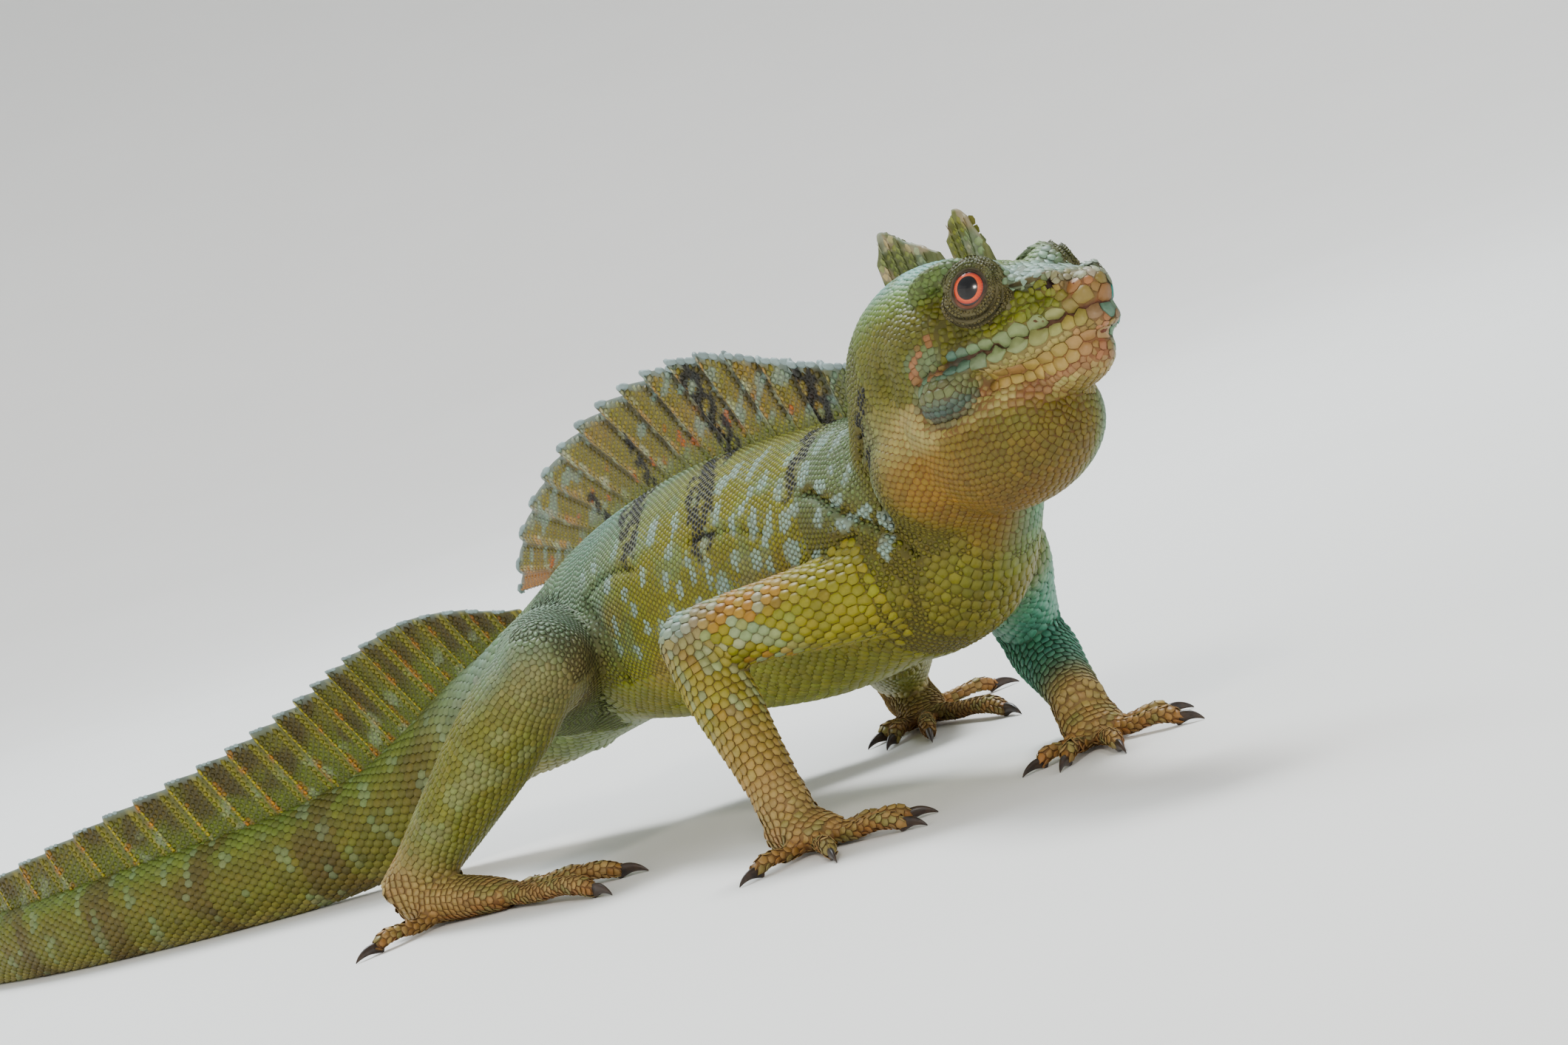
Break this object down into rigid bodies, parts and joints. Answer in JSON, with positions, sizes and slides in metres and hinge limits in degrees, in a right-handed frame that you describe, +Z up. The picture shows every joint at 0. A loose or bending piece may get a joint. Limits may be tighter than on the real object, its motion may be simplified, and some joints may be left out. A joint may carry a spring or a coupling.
{
  "type": "green basilisk lizard",
  "caption": "Life-size green basilisk lizard, an adult male with head crests and sails on back and tail, propped on its forelegs with its head raised.",
  "frame": {"origin": "middle of the footprint of the whole animal, tail included, on the floor", "axes": "+X towards the head, +Y towards the animal's left side, +Z up"},
  "size_m": [0.7292, 0.1822, 0.1046],
  "materials": {
    "skin": "dry scaly skin, olive to yellow-green with pale blue-grey spots",
    "throat": "soft scaled skin, cream to olive-yellow",
    "crest": "thin skin over rays, olive with black bands and a pale edge",
    "feet": "scaly tan-brown skin with dark claws",
    "eye": "wet glossy eye with a red-orange iris and a black pupil"
  },
  "bodies": {
    "root": {"back_sail": "crest", "front_head_crest": "crest", "head": "skin", "left_eye": "eye", "left_forearm": "skin", "left_forefoot": "feet", "left_hindfoot": "feet", "left_shin": "skin", "left_thigh": "skin", "left_upper_arm": "skin", "neck": "skin", "rear_head_crest": "crest", "right_eye": "eye", "right_forearm": "skin", "right_forefoot": "feet", "right_hindfoot": "feet", "right_shin": "skin", "right_thigh": "skin", "right_upper_arm": "skin", "tail_2": "skin", "tail_3": "skin", "tail_4": "skin", "tail_5": "skin", "tail_base": "skin", "tail_sail_1": "crest", "tail_sail_2": "crest", "tail_sail_3": "crest", "tail_sail_4": "crest", "throat_pouch": "throat", "torso": "skin"}
  },
  "joints": []
}
